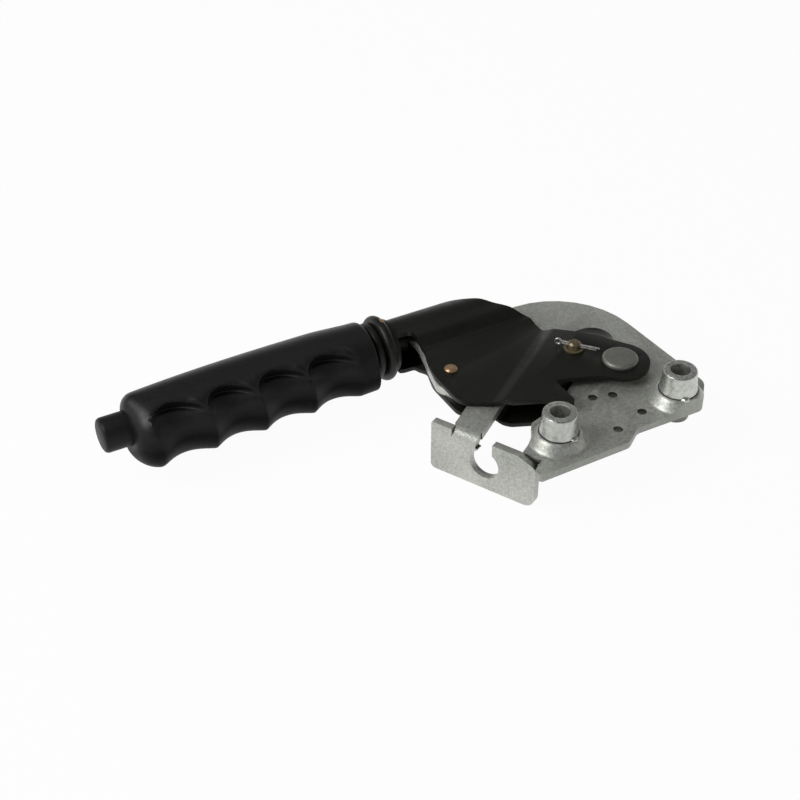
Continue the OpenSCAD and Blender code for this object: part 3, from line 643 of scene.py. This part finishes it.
# World: a dim studio with a pale backdrop low down. Heights of the view ray, and strengths there.
BACKDROP_TOP, DIM_FROM = 0.05, 0.5
BACKDROP, DIM = 0.85, 0.17

# Lamps: place, point aimed at, size in metres, watts.
LAMPS = {
    "key": ((-1.07, 0.2, 0.86), (-0.05, 0.04, 0.0), (0.7, 0.7), 11.8),
    "top": ((0.1, 0.5, 1.0), (0.0, 0.05, 0.0), (0.9, 0.5), 0.5),
}

# Camera at the photograph's viewing angle: place in metres, direction, lens and sensor.
CAMERA_AT = (-0.3284, -0.4171, 0.4034)
CAMERA_TOWARD = Vector((0.3735, 0.6938, -0.6157))
LENS, SENSOR = 72.0, 36.0
CLIP_START, CLIP_END = 0.01, 50.0


def floor_material():
    """Pale paper, white where it is looked at or mirrored, with a painted shadow under the cable
    slot.
    """
    mat = bpy.data.materials.new("floor")
    tree = fresh_tree(mat)
    rays = add_node(tree, "LightPath").outputs
    seen = maths(tree, "MAXIMUM",
                 maths(tree, "MAXIMUM", rays["Is Camera Ray"], rays["Is Glossy Ray"]),
                 rays["Is Transmission Ray"])
    # Painted shadow of the plate, on the floor under the cable slot.
    from_patch = distance(tree, add_node(tree, "TexCoord").outputs["Object"], UNDER_SLOT)
    lit = ramp_between(tree, from_patch, PATCH_R, PATCH_EDGE, 0.0, 1.0)
    share = maths(tree, "MULTIPLY", maths(tree, "MULTIPLY", seen, WHITE_SHARE), lit)
    paper = add_node(tree, "BsdfDiffuse", {"Color": colour_mix(tree, lit, SHADED, PALE)})
    glow = add_node(tree, "Emission", {"Color": WHITE, "Strength": 1.0})
    mix = add_node(tree, "MixShader", {0: share, 1: paper.outputs[0], 2: glow.outputs[0]})
    add_node(tree, "OutputMaterial", {"Surface": mix.outputs[0]})
    return mat


def place_in_view(name, data, location, direction):
    """A lamp or camera at location that looks along direction."""
    obj = bpy.data.objects.new(name, data)
    obj.location = location
    obj.rotation_mode = "QUATERNION"
    obj.rotation_quaternion = direction.to_track_quat("-Z", "Y")
    bpy.context.scene.collection.objects.link(obj)
    return obj


bm = bmesh.new()
bm.faces.new([bm.verts.new((x * FLOOR_REACH, y * FLOOR_REACH, FLOOR_Z * MM))
              for x, y in ((-1, -1), (1, -1), (1, 1), (-1, 1))])
floor_mesh = bpy.data.meshes.new("floor")
bm.to_mesh(floor_mesh)
bm.free()
floor_mesh.materials.append(floor_material())
floor = bpy.data.objects.new("floor", floor_mesh)
bpy.context.scene.collection.objects.link(floor)

world = bpy.data.worlds.new("studio")
bpy.context.scene.world = world
tree = fresh_tree(world)
ray_height = along(tree, add_node(tree, "TexCoord").outputs["Generated"], "Z")
sky = add_node(tree, "Background", {
    "Color": WHITE,
    "Strength": ramp_between(tree, ray_height, BACKDROP_TOP, DIM_FROM, BACKDROP, DIM,
                             "SMOOTHSTEP"),
})
add_node(tree, "OutputWorld", {"Surface": sky.outputs[0]})

for name, (location, target, size, power) in LAMPS.items():
    lamp = bpy.data.lights.new(name, "AREA")
    lamp.shape = "RECTANGLE"
    lamp.size, lamp.size_y = size
    lamp.energy = power
    place_in_view(name, lamp, location, Vector(target) - Vector(location))

camera = bpy.data.cameras.new("camera")
camera.lens = LENS
camera.sensor_width = SENSOR
camera.clip_start, camera.clip_end = CLIP_START, CLIP_END
bpy.context.scene.camera = place_in_view("camera", camera, CAMERA_AT, CAMERA_TOWARD)
bpy.context.scene.view_settings.view_transform = "Standard"
